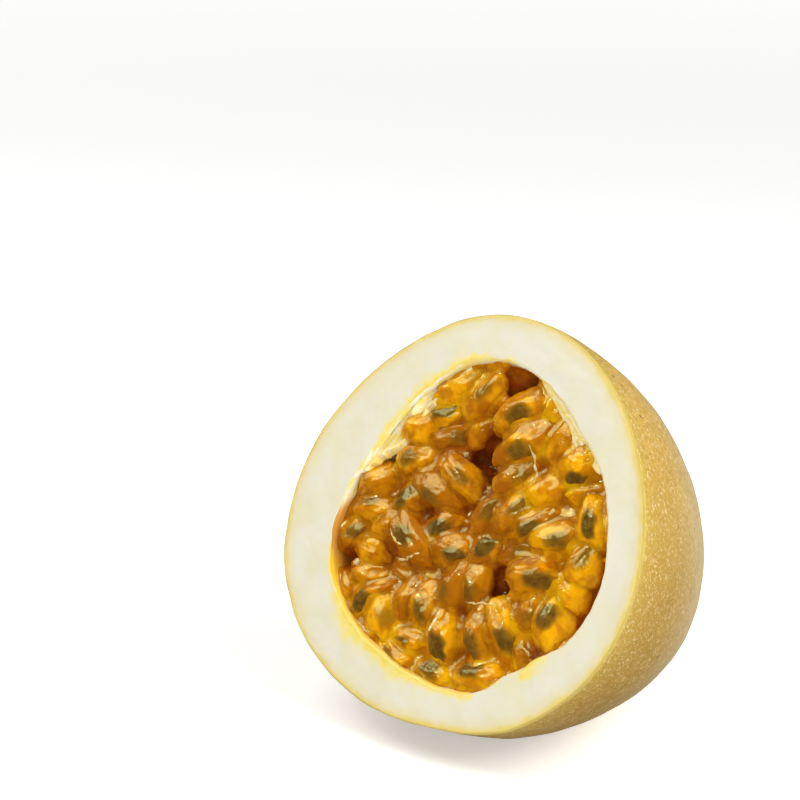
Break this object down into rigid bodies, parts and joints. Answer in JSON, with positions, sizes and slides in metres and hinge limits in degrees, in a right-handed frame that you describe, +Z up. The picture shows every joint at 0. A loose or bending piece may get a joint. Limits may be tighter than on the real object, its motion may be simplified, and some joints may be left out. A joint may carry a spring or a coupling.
{
  "type": "halved passion fruit",
  "caption": "Half of a yellow passion fruit, cut across: thick white pith in a mottled yellow skin, filled with wet golden juice sacs that hold dark seeds; rests on its rind.",
  "frame": {"origin": "on the resting surface, at the middle of the part's box", "axes": "+Z up, +X to the right across the cut face, +Y away from the cut face towards the blossom end; the cut face looks along -Y and leans back by 26 degrees"},
  "size_m": [0.0788, 0.0672, 0.0728],
  "materials": {
    "rind": "waxy mottled yellow skin over soft matt white pith",
    "juice_sac": "wet, glossy and translucent golden orange, with a dark seed inside",
    "deep_pulp": "wet, glossy, deep amber"
  },
  "bodies": {
    "root": {"rind": "rind", "deep_pulp": "deep_pulp", "juice_sac_01": "juice_sac", "juice_sac_02": "juice_sac", "juice_sac_03": "juice_sac", "juice_sac_04": "juice_sac", "juice_sac_05": "juice_sac", "juice_sac_06": "juice_sac", "juice_sac_07": "juice_sac", "juice_sac_08": "juice_sac", "juice_sac_09": "juice_sac", "juice_sac_10": "juice_sac", "juice_sac_11": "juice_sac", "juice_sac_12": "juice_sac", "juice_sac_13": "juice_sac", "juice_sac_14": "juice_sac", "juice_sac_15": "juice_sac", "juice_sac_16": "juice_sac", "juice_sac_17": "juice_sac", "juice_sac_18": "juice_sac", "juice_sac_19": "juice_sac", "juice_sac_20": "juice_sac", "juice_sac_21": "juice_sac", "juice_sac_22": "juice_sac", "juice_sac_23": "juice_sac", "juice_sac_24": "juice_sac", "juice_sac_25": "juice_sac", "juice_sac_26": "juice_sac", "juice_sac_27": "juice_sac", "juice_sac_28": "juice_sac", "juice_sac_29": "juice_sac", "juice_sac_30": "juice_sac", "juice_sac_31": "juice_sac", "juice_sac_32": "juice_sac", "juice_sac_33": "juice_sac", "juice_sac_34": "juice_sac", "juice_sac_35": "juice_sac", "juice_sac_36": "juice_sac", "juice_sac_37": "juice_sac", "juice_sac_38": "juice_sac", "juice_sac_39": "juice_sac", "juice_sac_40": "juice_sac", "juice_sac_41": "juice_sac", "juice_sac_42": "juice_sac", "juice_sac_43": "juice_sac", "juice_sac_44": "juice_sac", "juice_sac_45": "juice_sac", "juice_sac_46": "juice_sac", "juice_sac_47": "juice_sac", "juice_sac_48": "juice_sac", "juice_sac_49": "juice_sac", "juice_sac_50": "juice_sac", "juice_sac_51": "juice_sac", "juice_sac_52": "juice_sac", "juice_sac_53": "juice_sac", "juice_sac_54": "juice_sac", "juice_sac_55": "juice_sac", "juice_sac_56": "juice_sac", "juice_sac_57": "juice_sac", "juice_sac_58": "juice_sac"}
  },
  "joints": []
}
